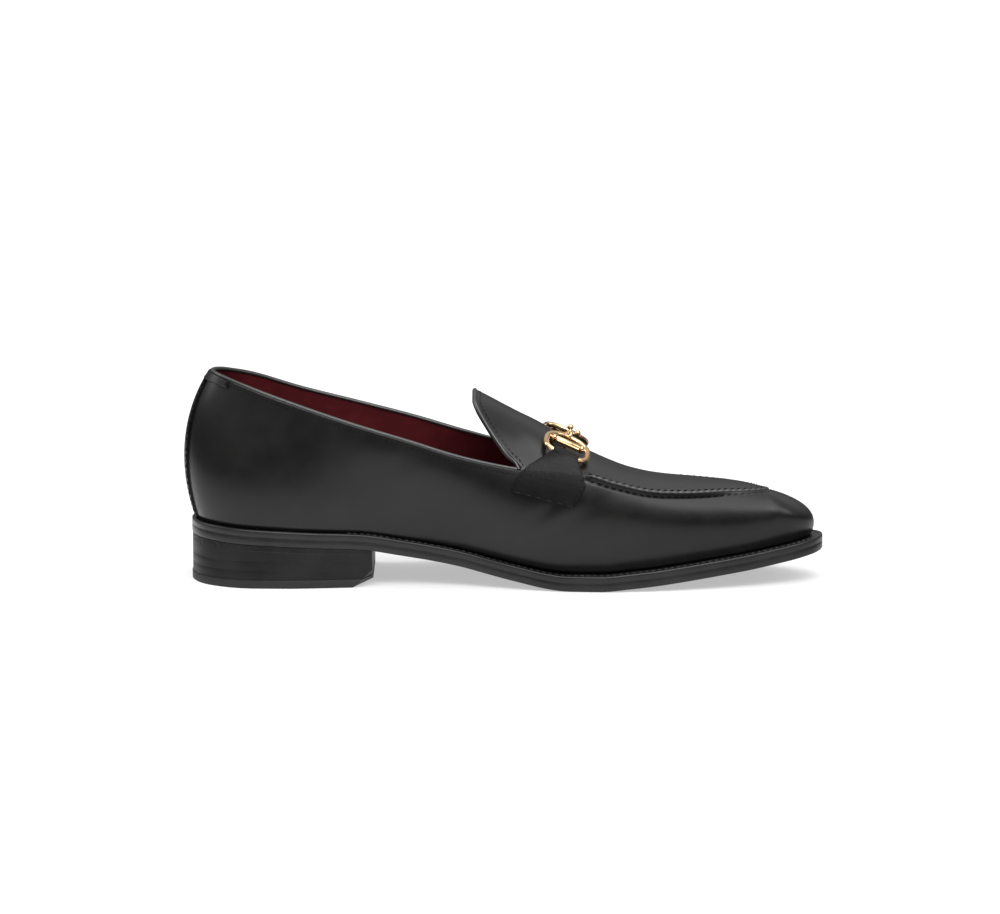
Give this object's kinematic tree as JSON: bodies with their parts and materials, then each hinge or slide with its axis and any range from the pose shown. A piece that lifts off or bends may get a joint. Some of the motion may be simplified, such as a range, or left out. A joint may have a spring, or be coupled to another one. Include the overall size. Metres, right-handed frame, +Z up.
{
  "type": "bit loafer",
  "caption": "Left black calf slip-on loafer with apron, strap and metal bit over the instep, red lining, welted sole and stacked heel.",
  "frame": {"origin": "middle of the heel's resting face, on the floor", "axes": "+X from heel to toe, +Z up, the inner side of the foot towards -Y and the outer side towards +Y"},
  "size_m": [0.3094, 0.1052, 0.1022],
  "materials": {
    "calf": "smooth black calf, polished",
    "strap": "fine grained black leather, matt",
    "lining": "burgundy lining leather",
    "edge": "black painted sole edge",
    "heel": "black stacked leather",
    "top_piece": "black rubber",
    "gold": "polished light gold plating"
  },
  "bodies": {
    "root": {"outsole": "edge", "welt": "edge", "seat_rand": "edge", "insole": "lining", "heel_lift_1": "heel", "heel_lift_2": "heel", "heel_lift_3": "heel", "top_piece": "top_piece", "upper": "calf", "backstay": "calf", "heel_band": "calf", "collar_binding": "calf", "tongue_binding": "calf", "strap_inner": "strap", "strap_outer": "strap", "ring_inner": "gold", "ring_outer": "gold", "link_inner": "gold", "link_outer": "gold"}
  },
  "joints": []
}
